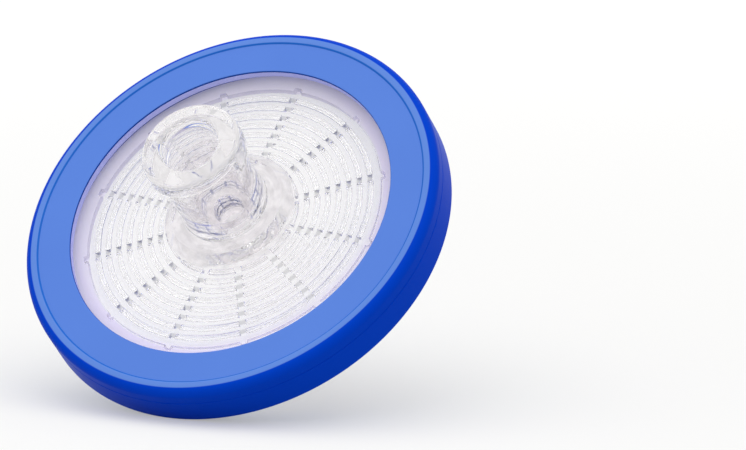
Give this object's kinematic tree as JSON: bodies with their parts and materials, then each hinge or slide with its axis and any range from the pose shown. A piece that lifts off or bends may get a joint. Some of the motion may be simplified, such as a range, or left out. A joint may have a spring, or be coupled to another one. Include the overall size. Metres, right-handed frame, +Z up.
{
  "type": "syringe filter",
  "caption": "Round syringe filter: clear ribbed housings round a membrane, a ring moulded over the rim, a luer-lock inlet and a slip-luer outlet.",
  "frame": {"origin": "centre of the bounding box's bottom face, on the surface that the filter lies on", "axes": "+Z up; the disc's horizontal diameter lies along X; the inlet faces up and towards -Y, and the outlet's tip and the ring's rim touch the surface"},
  "size_m": [0.033, 0.026, 0.026],
  "materials": {
    "clear_housing": "clear, polished",
    "membrane_white": "matt, microporous",
    "ring_blue": "smooth, slightly translucent"
  },
  "bodies": {
    "root": {"inlet_housing": "clear_housing", "outlet_housing": "clear_housing", "membrane": "membrane_white", "sealing_ring": "ring_blue"}
  },
  "joints": []
}
